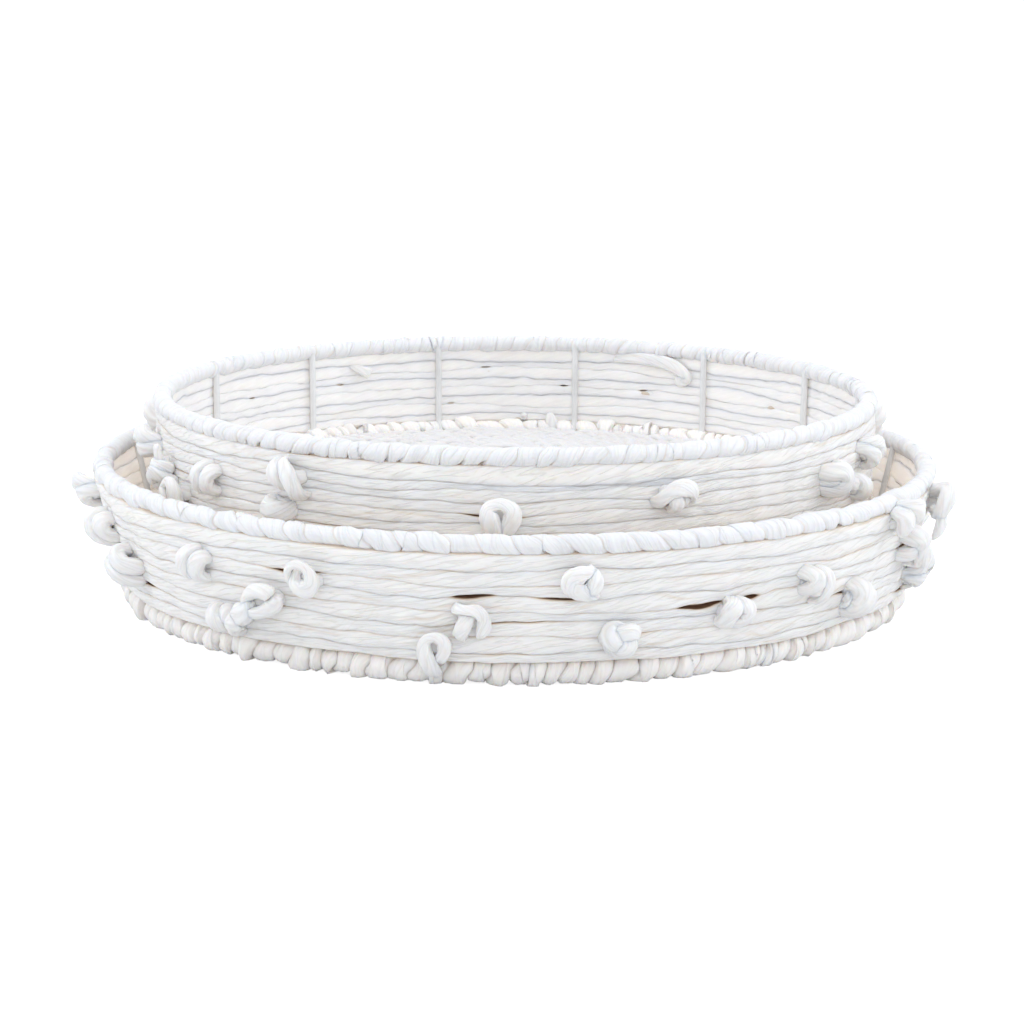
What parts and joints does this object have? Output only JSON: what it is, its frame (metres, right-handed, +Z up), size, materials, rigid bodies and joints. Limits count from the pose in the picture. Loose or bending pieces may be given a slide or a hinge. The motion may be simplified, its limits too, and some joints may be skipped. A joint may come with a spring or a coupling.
{
  "type": "nesting round tray set",
  "caption": "Set of round open trays wound from white twisted paper cord on wire frames with knotted walls; the smaller stands inside the larger and lifts out.",
  "frame": {"origin": "centre of the large tray's underside, on the vertical axis that both trays share", "axes": "+Z up, out of the trays' open tops; -Y is the front"},
  "size_m": [0.4189, 0.4247, 0.0999],
  "materials": {
    "white_wire": "satin white enamel",
    "wall_cord": "matt twisted paper cord",
    "rim_cord": "matt flat-wound paper cord",
    "foot_cord": "matt thick paper cord",
    "floor_cord": "matt woven paper cord",
    "knot_cord": "matt knotted paper cord"
  },
  "bodies": {
    "large_tray": {"large_rim_wire": "white_wire", "large_base_wire": "white_wire", "large_hub_wire": "white_wire", "large_wall_stakes": "white_wire", "large_floor_spokes": "white_wire", "large_rim_wrap": "rim_cord", "large_foot_wrap": "foot_cord", "large_floor_weave": "floor_cord", "large_wall_cord_1": "wall_cord", "large_wall_cord_2": "wall_cord", "large_wall_cord_3": "wall_cord", "large_wall_cord_4": "wall_cord", "large_wall_cord_5": "wall_cord", "large_wall_cord_6": "wall_cord", "large_wall_cord_7": "wall_cord", "large_wall_cord_8": "wall_cord", "large_knots_lower": "knot_cord", "large_knots_middle": "knot_cord", "large_knots_upper": "knot_cord"},
    "small_tray": {"small_rim_wire": "white_wire", "small_base_wire": "white_wire", "small_hub_wire": "white_wire", "small_wall_stakes": "white_wire", "small_floor_spokes": "white_wire", "small_rim_wrap": "rim_cord", "small_foot_wrap": "foot_cord", "small_floor_weave": "floor_cord", "small_wall_cord_1": "wall_cord", "small_wall_cord_2": "wall_cord", "small_wall_cord_3": "wall_cord", "small_wall_cord_4": "wall_cord", "small_wall_cord_5": "wall_cord", "small_wall_cord_6": "wall_cord", "small_wall_cord_7": "wall_cord", "small_wall_cord_8": "wall_cord", "small_knots_lower": "knot_cord", "small_knots_middle": "knot_cord", "small_knots_upper": "knot_cord"}
  },
  "joints": [
    {"name": "small_tray_lift", "type": "slide", "parent": "large_tray", "child": "small_tray", "axis": [0, 0, 1], "range_m": [0, 0.08]}
  ]
}
